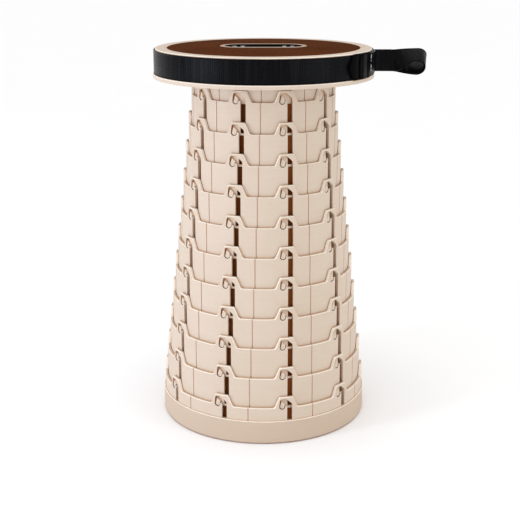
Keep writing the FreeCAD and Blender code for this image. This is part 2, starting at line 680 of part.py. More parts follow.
def seat_top():
    """The seat's top: plate, pad recess, rim and screw bosses. It is one moulding with the skirt."""
    recess = "(Sheet.pad_radius + Sheet.pad_gap)"
    body = turned("seat_top_turned", [
        ("0", PLATE_UNDER), (SEAT_SIDE, PLATE_UNDER), (SEAT_SIDE, RIM_TOP),
        (recess, RIM_TOP), (recess, PLATE_TOP), ("0", PLATE_TOP),
    ])
    edged = rounded("seat_top_edged", body, "rim_round", [(SEAT_SIDE, RIM_TOP)])

    def boss(index, x, y):
        return cylinder(f"seat_boss_{index}", "Sheet.boss_radius", f"Sheet.boss_height + {MARGIN}",
                        x, y, COLLAR_FLANGE_TOP)

    blank = fuse("seat_top_blank", [edged] + around("seat_screws", "Sheet.seat_screw_circle", 0, boss))
    cup_outside = "2 * Sheet.cup_wall + 2 * Sheet.bezel_gap"
    opening = stadium("seat_opening", f"Sheet.cup_length + {cup_outside}",
                      f"Sheet.cup_width + {cup_outside}", "Sheet.seat_plate", PLATE_UNDER)
    notch_x = f"{recess} + (Sheet.notch_length - {MARGIN}) / 2"
    notches = [
        box(f"rim_notch_{side}", f"Sheet.notch_length + {MARGIN}", "Sheet.notch_width",
            "Sheet.notch_depth", x=f"{sign} * ({notch_x})", z=f"{RIM_TOP} - Sheet.notch_depth")
        for side, sign in (("left", -1), ("right", 1))
    ]

    def boss_hole(index, x, y):
        return cylinder(f"seat_boss_hole_{index}", HOLE, "Sheet.seat_screw_length", x, y, COLLAR_FLANGE_TOP)

    holes = around("seat_screws", "Sheet.seat_screw_circle", 0, boss_hole)
    cup_holes = four_corners("seat_cup_hole", HOLE, PLATE_UNDER, "Sheet.cup_hole_depth")
    tools = group("seat_top_holes", [opening] + notches + holes + cup_holes)
    return cut("seat_top", blank, tools)


def four_corners(name, radius, z, height):
    """Four upright cylinders at the cup's screw places."""
    return [
        cylinder(f"{name}_{index}", radius, height, f"{x} * Sheet.cup_screw_x",
                 f"{y} * Sheet.cup_screw_y", z)
        for index, (x, y) in enumerate(((-1, -1), (1, -1), (1, 1), (-1, 1)))
    ]


def seat_screws():
    """Pan-head screws up through the collar's flange into the seat's bosses."""
    head_top = f"({COLLAR_FLANGE_TOP} - Sheet.collar_flange)"

    def screw(index, x, y):
        length = "Sheet.collar_flange + Sheet.seat_screw_length - Sheet.screw_end_gap"
        shank = cylinder(f"seat_screw_shank_{index}", "Sheet.screw_shank", length, x, y, head_top)
        head = cylinder(f"seat_screw_head_{index}", "Sheet.screw_head", "Sheet.screw_head_height",
                        x, y, f"{head_top} - Sheet.screw_head_height")
        return fuse(f"seat_screw_{index}", [shank, head])

    return group("seat_screws", around("seat_screws", "Sheet.seat_screw_circle", 0, screw))


def seat_pad():
    """The leather pad: a crowned disc with an oblong hole for the handle bezel."""
    rise = "(Sheet.pad_thickness + Sheet.pad_crown)"
    disc = cylinder("pad_disc", "Sheet.pad_radius", rise, z=PLATE_TOP)
    ball_radius = "((Sheet.pad_radius ^ 2 + Sheet.pad_crown ^ 2) / (2 * Sheet.pad_crown))"
    ball = doc.addObject("Part::Sphere", "pad_ball")
    bind(ball, Radius=ball_radius)
    place(ball, z=f"{PLATE_TOP} + {rise} - {ball_radius}")
    crowned = doc.addObject("Part::Common", "pad_crowned")
    crowned.Base = disc
    crowned.Tool = ball
    frame = "2 * (Sheet.cup_wall + Sheet.bezel_width + Sheet.bezel_gap)"
    hole = stadium("pad_hole", f"Sheet.cup_length + {frame}", f"Sheet.cup_width + {frame}",
                   f"{rise}", PLATE_TOP)
    return cut("seat_pad", crowned, hole)


def handle_bezel():
    """The beige frame round the handle opening."""
    inside = "2 * (Sheet.cup_wall + Sheet.bezel_gap)"
    outside = "2 * (Sheet.cup_wall + Sheet.bezel_width)"
    frame = stadium("bezel_outside", f"Sheet.cup_length + {outside}", f"Sheet.cup_width + {outside}",
                    "Sheet.bezel_thickness", PLATE_TOP)
    hole = stadium("bezel_inside", f"Sheet.cup_length + {inside}", f"Sheet.cup_width + {inside}",
                   "Sheet.bezel_thickness", PLATE_TOP)
    blank = cut("handle_bezel_blank", frame, hole)
    item = doc.addObject("Part::Fillet", "handle_bezel")
    item.Base = blank
    doc.recompute()
    top = number(BEZEL_TOP)
    item.Edges = [
        (position, size("bezel_round"), size("bezel_round"))
        for position, edge in enumerate(blank.Shape.Edges, start=1)
        if all(abs(vertex.Point.z - top) < NEAR for vertex in edge.Vertexes)
    ]
    return item


GRIP_TOP = f"({BEZEL_TOP} - Sheet.grip_drop)"
GRIP_UNDER = f"({GRIP_TOP} - Sheet.grip_thickness)"
CUP_TOP = f"({BEZEL_TOP} - Sheet.cup_drop)"
CUP_FLOOR = f"({CUP_TOP} - Sheet.cup_depth)"


def handle_cup():
    """The black cup in the seat, with a shelf at each end for the grip."""
    walls = "2 * Sheet.cup_wall"
    outside = stadium("cup_outside", f"Sheet.cup_length + {walls}", f"Sheet.cup_width + {walls}",
                      "Sheet.cup_depth + Sheet.cup_wall", f"{CUP_FLOOR} - Sheet.cup_wall")
    spread = "2 * (Sheet.cup_wall + Sheet.cup_flange_width)"
    flange = stadium("cup_flange_plate", f"Sheet.cup_length + {spread}", f"Sheet.cup_width + {spread}",
                     "Sheet.cup_flange", f"{PLATE_UNDER} - Sheet.cup_flange")
    blank = fuse("cup_blank", [outside, flange])
    upper = stadium("cup_upper_space", "Sheet.cup_length", "Sheet.cup_width",
                    f"{CUP_TOP} - {GRIP_UNDER}", GRIP_UNDER)
    lower = box("cup_finger_space", "Sheet.finger_length", "Sheet.cup_width",
                "Sheet.cup_depth", z=CUP_FLOOR)
    space = fuse("cup_space", [upper, lower])
    grip_holes = grip_places("cup_grip_hole", HOLE, f"{GRIP_UNDER} - Sheet.grip_screw_length + "
                             "Sheet.grip_thickness", "Sheet.grip_screw_length")
    flange_holes = four_corners("cup_hole", HOLE, f"{PLATE_UNDER} - Sheet.cup_flange", "Sheet.cup_flange")
    hollow = fuse("cup_hollow", [space] + grip_holes)
    return cut("handle_cup", blank, group("cup_holes", [hollow] + flange_holes))


def grip_places(name, radius, z, height):
    """Four upright cylinders at the grip's screw places, two at each end."""
    return [
        cylinder(f"{name}_{index}", radius, height, f"{side} * Sheet.{place_name}", z=z)
        for index, (side, place_name) in enumerate((
            (-1, "grip_screw_outer"), (-1, "grip_screw_inner"),
            (1, "grip_screw_inner"), (1, "grip_screw_outer")))
    ]


def handle_grip():
    """The bar across the cup."""
    length = "Sheet.cup_length - 2 * Sheet.grip_end_gap"
    bar = stadium("grip_bar", length, "Sheet.grip_width", "Sheet.grip_thickness", GRIP_UNDER)
    holes = grip_places("grip_hole", HOLE, GRIP_UNDER, "Sheet.grip_thickness")
    return cut("handle_grip", bar, group("grip_holes", holes))


def handle_screws():
    """Four screws that hold the grip, two at each end."""
    shanks = grip_places("handle_screw_shank", "Sheet.screw_shank",
                         f"{GRIP_TOP} + Sheet.screw_head_height / 4 - Sheet.grip_screw_length",
                         "Sheet.grip_screw_length")
    heads = grip_places("handle_screw_head", "Sheet.screw_head", GRIP_TOP, "Sheet.screw_head_height / 2")
    screws = [fuse(f"handle_screw_{index}", list(pair)) for index, pair in enumerate(zip(shanks, heads))]
    return group("handle_screws", screws)


def cup_screws():
    """Four screws up through the cup's flange into the seat plate."""
    under = f"({PLATE_UNDER} - Sheet.cup_flange)"
    shanks = four_corners("cup_screw_shank", "Sheet.screw_shank", under, "Sheet.cup_screw_length")
    heads = four_corners("cup_screw_head", "Sheet.screw_head", f"{under} - Sheet.screw_head_height",
                         "Sheet.screw_head_height")
    screws = [fuse(f"cup_screw_{index}", list(pair)) for index, pair in enumerate(zip(shanks, heads))]
    return group("cup_screws", screws)


def side_strap():
    """The webbing round the side of the seat."""
    outside = cylinder("strap_outside", STRAP_OUTSIDE, "Sheet.strap_width", z=STRAP_BOTTOM)
    inside = cylinder("strap_inside", STRAP_INSIDE, "Sheet.strap_width", z=STRAP_BOTTOM)
    return cut("side_strap", outside, inside)


BUCKLE_INSIDE = f"({STRAP_OUTSIDE} + Sheet.buckle_gap)"
BUCKLE_MIDDLE = f"({STRAP_BOTTOM} + Sheet.buckle_height / 2)"
BUCKLE_OUTSIDE = f"({BUCKLE_INSIDE} + Sheet.buckle_thickness)"


def strap_buckle():
    """The slider: a curved frame with two slots and a middle bar."""
    frame = curved_plate("buckle_frame", BUCKLE_INSIDE, BUCKLE_OUTSIDE, "Sheet.buckle_height",
                         "Sheet.buckle_azimuth - Sheet.buckle_angle / 2", "Sheet.buckle_angle",
                         STRAP_BOTTOM)
    slot_angle = "(Sheet.buckle_angle / 2 - Sheet.buckle_bar_angle - Sheet.buckle_middle_angle / 2)"
    slot_height = "(Sheet.buckle_height - 2 * Sheet.buckle_rail)"
    slots = [
        curved_plate(f"buckle_slot_{side}", BUCKLE_INSIDE, BUCKLE_OUTSIDE, slot_height,
                     start, slot_angle, f"{BUCKLE_MIDDLE} - {slot_height} / 2")
        for side, start in (
            ("left", f"Sheet.buckle_azimuth - Sheet.buckle_middle_angle / 2 - {slot_angle}"),
            ("right", "Sheet.buckle_azimuth + Sheet.buckle_middle_angle / 2"))
    ]
    return cut("strap_buckle", frame, group("buckle_slots", slots))


def strap_tail():
    """The webbing that passes over the buckle's middle bar."""
    half = "(Sheet.buckle_middle_angle / 2 + Sheet.tail_bar_gap + Sheet.tail_leg_angle)"
    over = f"({BUCKLE_OUTSIDE} + Sheet.buckle_gap)"
    outside = f"({over} + Sheet.tail_thickness)"
    bottom = f"{BUCKLE_MIDDLE} - Sheet.tail_width / 2"
    span = curved_plate("tail_span", over, outside, "Sheet.tail_width",
                        f"Sheet.buckle_azimuth - {half}", f"2 * {half}", bottom)
    legs = [
        curved_plate(f"tail_leg_{side}", BUCKLE_INSIDE, outside, "Sheet.tail_width",
                     start, "Sheet.tail_leg_angle", bottom)
        for side, start in (
            ("left", f"Sheet.buckle_azimuth - {half}"),
            ("right", f"Sheet.buckle_azimuth + {half} - Sheet.tail_leg_angle"))
    ]
    return fuse("strap_tail", [span] + legs)


def teardrop(root, neck_end, end_middle, neck, belly, tilt):
    """A closed outline of the loop, on a plane tilted about the loop's length.

    Its root is round, so that the sewn neck can turn about an upright line there.
    """
    def spot(x, across):
        return Vector(x, across * math.cos(tilt), -across * math.sin(tilt))

    distance = math.hypot(end_middle - neck_end, neck)
    lean = math.asin(belly / distance) - math.asin(neck / distance)
    touch_x = end_middle - belly * math.sin(lean)
    touch_across = belly * math.cos(lean)
    side = [(root + neck, neck), (neck_end, neck), (touch_x, touch_across)]
    edges = []
    for first, second in zip(side, side[1:]):
        edges.append(Part.LineSegment(spot(*first), spot(*second)).toShape())
    far = Part.Arc(spot(touch_x, touch_across), spot(end_middle + belly, 0), spot(touch_x, -touch_across))
    edges.append(far.toShape())
    for first, second in zip(reversed(side[1:]), reversed(side[:-1])):
        edges.append(Part.LineSegment(spot(first[0], -first[1]), spot(second[0], -second[1])).toShape())
    edges.append(Part.Arc(spot(root + neck, -neck), spot(root, 0), spot(root + neck, neck)).toShape())
    return Part.Wire(edges)


def strap_loop():
    """The hand loop: webbing folded back on itself and sewn at the neck."""
    tilt = math.radians(size("loop_tilt"))
    root = number(BUCKLE_INSIDE)
    belly = size("loop_belly")
    end_middle = size("loop_reach") - belly
    thickness = size("strap_thickness")
    neck_end = root + size("loop_neck_length")
    outer = teardrop(root, neck_end, end_middle, size("loop_neck"), belly, tilt)
    inner_start = neck_end + 2.5 * thickness
    sliver = thickness / 10
    inner = teardrop(inner_start, inner_start + thickness, end_middle, sliver, belly - thickness, tilt)
    height = size("tail_width")
    solid = Part.Face(outer).extrude(Vector(0, 0, height))
    hollow = Part.Face(inner).extrude(Vector(0, 0, height))
    item = doc.addObject("Part::Feature", "strap_loop")
    item.Shape = solid.cut(hollow)
    return place(item, z=f"{STRAP_MIDDLE} - Sheet.loop_drop - Sheet.tail_width / 2")


def build():
    """Every sub-part, by its node name."""
    parts = {"ring_00_collar": ring(0)}
    last = int(size("ring_steps"))
    for index in range(1, last):
        parts[f"ring_{index:02d}"] = ring(index)
    parts[f"ring_{last:02d}_base"] = base_ring()
    for make in (collar_flange, base_plate, base_screws, foot_pads, seat_skirt, seat_top,
                 seat_pad, seat_screws, handle_cup, cup_screws, handle_bezel, handle_grip,
                 handle_screws, side_strap, strap_buckle, strap_tail, strap_loop):
        parts[make.__name__] = make()
    for name, item in parts.items():
        item.Label = name
    return parts


def check(parts):
    """Stops with a message where an object failed or a shape is not sound."""
    for item in doc.Objects:
        if {"Invalid", "Error"} & set(item.State):
            raise RuntimeError(f"{item.Name} failed: {item.State}")
    for name, item in parts.items():
        if item.Shape.isNull() or not item.Shape.isValid():
            raise RuntimeError(f"{name} is not a sound shape")
        if not item.Shape.Solids:
            raise RuntimeError(f"{name} holds no solid")


def export(parts):
    """Writes each sub-part to its own STEP file."""
    os.makedirs("parts", exist_ok=True)
    for name, item in parts.items():
        item.Shape.exportStep(os.path.join("parts", name + ".step"))
        print(name, len(item.Shape.Solids), "solids", round(item.Shape.Volume), "mm3")


parts = build()
doc.recompute()
check(parts)
export(parts)
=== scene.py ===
"""A telescopic stool with a leather top and a hand loop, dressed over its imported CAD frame.

Units are metres. Z is up, the stool's axis is the Z axis and its front faces -Y.
An azimuth is in degrees, measured from -Y towards +X.
"""

import json
import math

import bmesh
import bpy
from mathutils import Matrix, Vector


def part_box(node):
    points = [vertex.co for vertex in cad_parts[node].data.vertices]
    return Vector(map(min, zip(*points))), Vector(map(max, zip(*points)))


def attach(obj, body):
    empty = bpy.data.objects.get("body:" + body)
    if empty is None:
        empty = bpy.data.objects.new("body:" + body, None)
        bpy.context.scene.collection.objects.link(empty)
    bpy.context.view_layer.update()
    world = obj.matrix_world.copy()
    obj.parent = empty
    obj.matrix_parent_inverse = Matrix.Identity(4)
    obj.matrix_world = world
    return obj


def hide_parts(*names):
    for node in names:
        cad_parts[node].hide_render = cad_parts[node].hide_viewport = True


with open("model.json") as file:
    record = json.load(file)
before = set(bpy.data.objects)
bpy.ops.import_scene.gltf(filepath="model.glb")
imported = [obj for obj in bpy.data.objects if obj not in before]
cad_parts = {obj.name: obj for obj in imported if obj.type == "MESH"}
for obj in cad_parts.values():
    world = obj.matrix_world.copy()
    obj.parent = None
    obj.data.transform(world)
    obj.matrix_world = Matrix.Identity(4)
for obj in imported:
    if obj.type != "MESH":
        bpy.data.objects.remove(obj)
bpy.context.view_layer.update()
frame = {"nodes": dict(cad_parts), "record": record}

MM = 0.001
UP = Vector((0, 0, 1))
AXIS = Vector((0, 0, 0))

# The tower as the part's source sets it. Ring 11 is the base ring.
RINGS = 11
COLUMNS = 10
COLUMN_STEP = 36.0
FIRST_AZIMUTH = 21.0
TWIST_STEP = 0.61
COLLAR_RADIUS = 81.6 * MM
RADIUS_STEP = 3.85 * MM
WALL = 3.2 * MM
PITCH = 35.0 * MM
BASE_FLOOR = 7.4 * MM

# The webbing, the leather and the opening, from the frame's own boxes.
strap_low, strap_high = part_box("side_strap")
pad_low, pad_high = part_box("seat_pad")
bezel_low, bezel_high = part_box("handle_bezel")
loop_low, loop_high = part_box("strap_loop")
buckle_low, buckle_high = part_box("strap_buckle")

STRAP_THICKNESS = 2.0 * MM
STRAP_BEAD = 1.3 * MM
STRAP_OUTSIDE = strap_high.x
STRAP_INSIDE = STRAP_OUTSIDE - STRAP_THICKNESS
STRAP_MIDDLE = (strap_low.z + strap_high.z) / 2
STRAP_WIDTH = strap_high.z - strap_low.z

# The narrower webbing of the hand loop and of the layers at the buckle.
TAIL_WIDTH = 25.4 * MM
TAIL_BEAD = 1.2 * MM
TAIL_MIDDLE = STRAP_MIDDLE + 0.2 * MM
LAYER_THICKNESS = 1.5 * MM
LAYER_GAP = 0.15 * MM
LOOP_THICKNESS = 1.8 * MM

RIB_PITCH = 2.5 * MM
YARN_PITCH = 0.9 * MM

# The slider buckle and the stitches beside it.
BUCKLE_AZIMUTH = 56.2
BUCKLE_BAR_DEPTH = 2.6 * MM
BUCKLE_INSIDE = STRAP_OUTSIDE + 0.3 * MM
STITCH_AZIMUTH = 69.0
STITCH_RADIUS = 0.5 * MM

# The opening's frame: half its straight length and its width.
OPENING_STRAIGHT = bezel_high.x - bezel_high.y
BEZEL_WIDTH = 5.7 * MM


# Colours


def colour(red, green, blue):
    """A screen colour from 0 to 255 as the linear colour of a node."""
    def linear(value):
        share = value / 255
        return share / 12.92 if share <= 0.04045 else ((share + 0.055) / 1.055) ** 2.4

    return (linear(red), linear(green), linear(blue), 1.0)


SHELL_LOW = colour(201, 182, 163)
SHELL_HIGH = colour(206, 189, 172)
SHELL_STREAK = colour(193, 170, 147)
# Painted highlight on edges that face partly up.
SHELL_PAINTED_HIGHLIGHT = colour(242, 231, 217)
SHELL_FOOT = colour(168, 140, 112)
# Painted shade in seams and in deeper hollows.
SEAM_PAINTED_SHADE = colour(210, 158, 108)
HOLLOW_PAINTED_SHADE = colour(148, 88, 44)

# A darker copy of the shell's beige for the opening's frame: painted shade, with its own painted
# highlight.
BEZEL_SHADED_LOW = colour(168, 140, 115)
BEZEL_SHADED_HIGH = colour(176, 149, 125)
BEZEL_SHADED_STREAK = colour(158, 130, 104)
BEZEL_PAINTED_HIGHLIGHT = colour(172, 144, 120)

LEATHER_LOW = colour(82, 40, 10)
LEATHER_HIGH = colour(97, 50, 16)
LEATHER_WORN = colour(60, 28, 9)
LEATHER_PORE = colour(47, 22, 8)

# Painted shade in the weave's troughs and painted highlight on its crests.
RIB_TROUGH_SHADE = colour(1, 1, 2)
RIB_CREST_HIGHLIGHT = colour(18, 18, 20)
PALE_THREAD = colour(25, 25, 27)
LINT_GREY = colour(18, 18, 20)
WEBBING_EDGE = colour(5, 5, 6)

BLACK_LOW = colour(4, 4, 4)
BLACK_HIGH = colour(9, 9, 9)
STEEL_LOW = colour(196, 194, 190)
STEEL_HIGH = colour(226, 225, 222)
RUBBER_LOW = colour(22, 22, 22)
RUBBER_HIGH = colour(42, 41, 40)
# Painted shade for the unlit inside of the tower, on sheets behind the slots.
INSIDE_SHADE_LOW = colour(94, 47, 14)
INSIDE_SHADE_HIGH = colour(114, 61, 24)
THREAD_LOW = colour(168, 166, 164)
THREAD_HIGH = colour(208, 206, 204)
FLOOR_LOW = colour(242, 242, 242)
FLOOR_HIGH = colour(244, 244, 244)


# Finishes

COLOUR_MIX_SOCKETS = (0, 6, 7)
COLOUR_MIX_RESULT = 2


class Finish:
    """A procedural material: its node tree, its shader and a shorter way to add nodes."""

    def __init__(self, name, **sockets):
        self.material = bpy.data.materials.new(name)
        self.material.use_nodes = True
        self.tree = self.material.node_tree
        self.shader = self.tree.nodes["Principled BSDF"]
        for socket, value in sockets.items():
            self.shader.inputs[socket.replace("_", " ")].default_value = value

    def feed(self, socket, value):
        """Gives a socket a number, a colour or another node's output."""
        if isinstance(value, bpy.types.NodeSocket):
            self.tree.links.new(value, socket)
        else:
            socket.default_value = value

    def node(self, kind, inputs=None, **settings):
        """A node with its settings and its inputs."""
        made = self.tree.nodes.new("ShaderNode" + kind)
        for name, value in settings.items():
            setattr(made, name, value)
        for socket, value in (inputs or {}).items():
            self.feed(made.inputs[socket], value)
        return made

    def place(self, stretch=(1, 1, 1)):
        """Object coordinates, scaled along each axis."""
        source = self.node("TexCoord").outputs["Object"]
        return self.node("Mapping", {"Vector": source, "Scale": stretch}).outputs["Vector"]

    def parts(self, vector):
        """The X, Y and Z outputs of a vector."""
        return self.node("SeparateXYZ", {"Vector": vector}).outputs

    def noise(self, vector, scale, detail=3.0, roughness=0.5):
        made = self.node("TexNoise", {"Vector": vector, "Scale": scale, "Detail": detail,
                                      "Roughness": roughness})
        return made.outputs["Fac"]

    def spread(self, value, low, high, start=0.0, end=1.0):
        """A value between start and end, spread over low to high."""
        made = self.node("MapRange", {"Value": value, "From Min": start, "From Max": end,
                                      "To Min": low, "To Max": high})
        return made.outputs["Result"]

    def math(self, operation, first, second=0.0):
        made = self.node("Math", {0: first, 1: second}, operation=operation)
        return made.outputs["Value"]

    def mix(self, share, first, second):
        """The first colour where the share is 0, the second where it is 1."""
        made = self.node("Mix", data_type="RGBA", blend_type="MIX")
        for socket, value in zip(COLOUR_MIX_SOCKETS, (share, first, second)):
            self.feed(made.inputs[socket], value)
        return made.outputs[COLOUR_MIX_RESULT]

    def bump(self, height, depth, strength, normal=None):
        """A bump of a depth in metres, laid over another one if it is given."""
        inputs = {"Height": height, "Distance": depth, "Strength": strength}
        if normal is not None:
            inputs["Normal"] = normal
        return self.node("Bump", inputs).outputs["Normal"]

    def wear(self, socket, value):
        """Links a node's output to the shader."""
        self.tree.links.new(value, self.shader.inputs[socket])


def beige_plastic(name, low_tone, high_tone, streak, edge):
    """Moulded matt plastic: faint flow streaks, a fine spark-eroded grain, painted warm shade in seams
    and hollows and a painted highlight on edges that face partly up.
    """
    finish = Finish(name, Specular_IOR_Level=0.3)
    plain = finish.place()
    cloud = finish.noise(plain, scale=22.0, detail=4.0)
    streaks = finish.noise(finish.place((1, 1, 14)), scale=30.0)
    grain = finish.noise(plain, scale=2600.0, detail=2.0)
    tone = finish.mix(cloud, low_tone, high_tone)
    streaked = finish.mix(finish.spread(streaks, 0.0, 0.16, start=0.4, end=0.7), tone, streak)

    # The band at the foot is duller, and edges that face partly up get a paler painted highlight,
    # where light from above would catch them.
    height = finish.parts(plain)["Z"]
    low_down = finish.spread(height, 0.32, 0.0, start=27.5 * MM, end=29.5 * MM)
    body = finish.mix(low_down, streaked, SHELL_FOOT)
    facing = finish.parts(finish.node("TexCoord").outputs["Normal"])["Z"]
    upward = finish.spread(facing, 0.0, 0.9, start=0.1, end=0.4)
    level = finish.spread(facing, 1.0, 0.0, start=0.9, end=0.99)
    edge_painted_highlight = finish.mix(finish.math("MULTIPLY", upward, level), body, edge)

    # Painted shade: seams and slots turn warm brown with their depth, from ambient occlusion.
    hollow = finish.node("AmbientOcclusion", {"Distance": 5.0 * MM}, samples=8).outputs["AO"]
    seam_painted_shade = finish.mix(finish.spread(hollow, 0.8, 0.0, start=0.35, end=0.78), edge_painted_highlight, SEAM_PAINTED_SHADE)
    # The deepest hollows get a darker painted shade.
    depth = finish.spread(hollow, 1.0, 0.0, start=0.08, end=0.42)
    finish.wear("Base Color", finish.mix(depth, seam_painted_shade, HOLLOW_PAINTED_SHADE))
    finish.wear("Roughness", finish.spread(cloud, 0.48, 0.6))
    soft = finish.bump(streaks, depth=0.05 * MM, strength=0.5)
    finish.wear("Normal", finish.bump(grain, depth=0.02 * MM, strength=0.6, normal=soft))
    return finish.material


def brown_leather():
    """Matt brown leather: fine grain, mottled colour and darker pores."""
    finish = Finish("brown_leather", Specular_IOR_Level=0.004)
    plain = finish.place()
    cloud = finish.noise(plain, scale=16.0, detail=5.0, roughness=0.6)
    fine = finish.noise(plain, scale=240.0)
    cells = finish.node("TexVoronoi", {"Vector": plain, "Scale": 900.0}, feature="DISTANCE_TO_EDGE")
    to_edge = cells.outputs["Distance"]
    pore = finish.spread(to_edge, 1.0, 0.0, start=0.0, end=0.28)
    mottle = finish.spread(cloud, 0.0, 1.0, start=0.35, end=0.65)
    tone = finish.mix(mottle, LEATHER_LOW, LEATHER_HIGH)
    worn = finish.mix(finish.spread(fine, 0.0, 0.35, start=0.4, end=0.7), tone, LEATHER_WORN)
    finish.wear("Base Color", finish.mix(finish.math("MULTIPLY", pore, 0.45), worn, LEATHER_PORE))
    finish.wear("Roughness", finish.spread(fine, 0.6, 0.78))
    soft = finish.bump(cloud, depth=0.25 * MM, strength=0.5)
    finish.wear("Normal", finish.bump(to_edge, depth=0.12 * MM, strength=0.6, normal=soft))
    return finish.material


def black_webbing(name, along, across):
    """Woven black webbing: uneven ribs across its length, fine yarns along it, a darker edge, and
    painted shade in the weave's troughs with a painted highlight on its crests.

    along and across give the place on the webbing in metres, from a finish of its own.
    """
    finish = Finish(name, Specular_IOR_Level=0.04)
    length = along(finish)
    width = across(finish)
    rib = finish.math("SINE", finish.math("MULTIPLY", length, 2 * math.pi / RIB_PITCH))
    yarn = finish.math("SINE", finish.math("MULTIPLY", width, 2 * math.pi / YARN_PITCH))
    weave = finish.math("ADD", finish.math("MULTIPLY", rib, 0.5), finish.math("MULTIPLY", yarn, 0.25))
    relief = finish.spread(weave, 0.0, 1.0, start=-0.75, end=0.75)
    from_middle = finish.math("ABSOLUTE", width)
    edge = finish.spread(from_middle, 0.0, 1.0, start=0.445 * TAIL_WIDTH, end=0.475 * TAIL_WIDTH)
    lint = finish.noise(finish.place(), scale=320.0)
    threads = finish.noise(finish.place((1, 1, 0.03)), scale=330.0, detail=2.0)
    # The weave's colour follows its relief: painted shade in the troughs, painted highlight on the
    # crests.
    rib_painted_light = finish.mix(relief, RIB_TROUGH_SHADE, RIB_CREST_HIGHLIGHT)
    tone = finish.mix(finish.spread(threads, 0.0, 0.8, start=0.5, end=0.72), rib_painted_light, PALE_THREAD)
    fuzzy = finish.mix(finish.spread(lint, 0.0, 0.5, start=0.5, end=0.8), tone, LINT_GREY)
    finish.wear("Base Color", finish.mix(finish.math("MULTIPLY", edge, 0.6), fuzzy, WEBBING_EDGE))
    finish.wear("Roughness", finish.spread(lint, 0.22, 0.33))
    finish.wear("Normal", finish.bump(relief, depth=0.16 * MM, strength=0.85))
    return finish.material


def round_length(finish):
    """The way round the seat at the strap's outside."""
    parts = finish.parts(finish.node("TexCoord").outputs["Object"])
    back = finish.math("MULTIPLY", parts["Y"], -1.0)
    angle = finish.math("ARCTAN2", parts["X"], back)
    return finish.math("MULTIPLY", angle, STRAP_OUTSIDE)


def round_width(finish):
    """The place across the strap, scaled to the width of the narrower webbing."""
    height = finish.parts(finish.node("TexCoord").outputs["Object"])["Z"]
    offset = finish.math("SUBTRACT", height, STRAP_MIDDLE)
    return finish.math("MULTIPLY", offset, TAIL_WIDTH / STRAP_WIDTH)


def mapped_length(finish):
    """The way along a ribbon, from its own UV map."""
    return finish.parts(finish.node("UVMap", uv_map="ribbon").outputs["UV"])["X"]


def mapped_width(finish):
    """The place across a ribbon, from its own UV map."""
    return finish.parts(finish.node("UVMap", uv_map="ribbon").outputs["UV"])["Y"]


def plain_finish(finish, pattern, tones, roughness, bump):
    """A finish whose colour, roughness and bump all follow one noise."""
    finish.wear("Base Color", finish.mix(pattern, *tones))
    finish.wear("Roughness", finish.spread(pattern, *roughness))
    finish.wear("Normal", bump)
    return finish.material


def moulded_black(name, rough_low, rough_high, level):
    """Black moulded plastic with a fine grain."""
    finish = Finish(name, Specular_IOR_Level=level)
    plain = finish.place()
    cloud = finish.noise(plain, scale=60.0)
    grain = finish.noise(plain, scale=1800.0, detail=2.0)
    return plain_finish(finish, cloud, (BLACK_LOW, BLACK_HIGH), (rough_low, rough_high),
                        finish.bump(grain, depth=0.03 * MM, strength=0.5))


def steel():
    """Bright screw steel with turning marks."""
    finish = Finish("steel_screw", Metallic=1.0)
    marks = finish.noise(finish.place(), scale=900.0)
    return plain_finish(finish, marks, (STEEL_LOW, STEEL_HIGH), (0.2, 0.38),
                        finish.bump(marks, depth=0.02 * MM, strength=0.4))


def black_rubber():
    """Dull black rubber with a little dust."""
    finish = Finish("black_rubber", Specular_IOR_Level=0.25)
    dust = finish.noise(finish.place(), scale=140.0, detail=4.0)
    return plain_finish(finish, dust, (RUBBER_LOW, RUBBER_HIGH), (0.75, 0.92),
                        finish.bump(dust, depth=0.05 * MM, strength=0.5))


def painted_inside_shade():
    """Painted shade for the unlit inside of the tower, seen through the slots: deep warm brown."""
    finish = Finish("painted_inside_shade", Specular_IOR_Level=0.05)
    cloud = finish.noise(finish.place((1, 1, 0.4)), scale=90.0)
    return plain_finish(finish, cloud, (INSIDE_SHADE_LOW, INSIDE_SHADE_HIGH), (0.75, 0.95),
                        finish.bump(cloud, depth=0.05 * MM, strength=0.4))


def stitch_thread():
    """Pale twisted thread."""
    finish = Finish("stitch_thread", Specular_IOR_Level=0.3)
    twist = finish.noise(finish.place(), scale=1500.0, detail=2.0)
    return plain_finish(finish, twist, (THREAD_LOW, THREAD_HIGH), (0.55, 0.75),
                        finish.bump(twist, depth=0.05 * MM, strength=0.6))


def pale_ground():
    """The studio's floor, almost white."""
    finish = Finish("pale_floor", Specular_IOR_Level=0.1)
    cloud = finish.noise(finish.place(), scale=3.0)
    finish.wear("Base Color", finish.mix(cloud, FLOOR_LOW, FLOOR_HIGH))
    finish.wear("Roughness", finish.spread(cloud, 0.8, 0.9))
    return finish.material


beige = beige_plastic("beige_plastic", SHELL_LOW, SHELL_HIGH, SHELL_STREAK, SHELL_PAINTED_HIGHLIGHT)
# The opening's frame gets the beige darkened as painted shade.
bezel_shaded_beige = beige_plastic("bezel_shaded_beige", BEZEL_SHADED_LOW, BEZEL_SHADED_HIGH, BEZEL_SHADED_STREAK, BEZEL_PAINTED_HIGHLIGHT)
leather = brown_leather()
strap_webbing = black_webbing("strap_webbing", round_length, round_width)
ribbon_webbing = black_webbing("ribbon_webbing", mapped_length, mapped_width)
buckle_black = moulded_black("buckle_black", rough_low=0.2, rough_high=0.3, level=0.012)
cup_black = moulded_black("cup_black", rough_low=0.35, rough_high=0.5, level=0.04)
screw_steel = steel()
rubber = black_rubber()
inside_shade_finish = painted_inside_shade()
thread = stitch_thread()

SLOT_FINISH = {
    "beige_plastic": beige,
    "brown_leather": leather,
    "black_webbing": strap_webbing,
    "black_buckle": buckle_black,
    "black_plastic": cup_black,
    "steel_screw": screw_steel,
    "black_rubber": rubber,
}


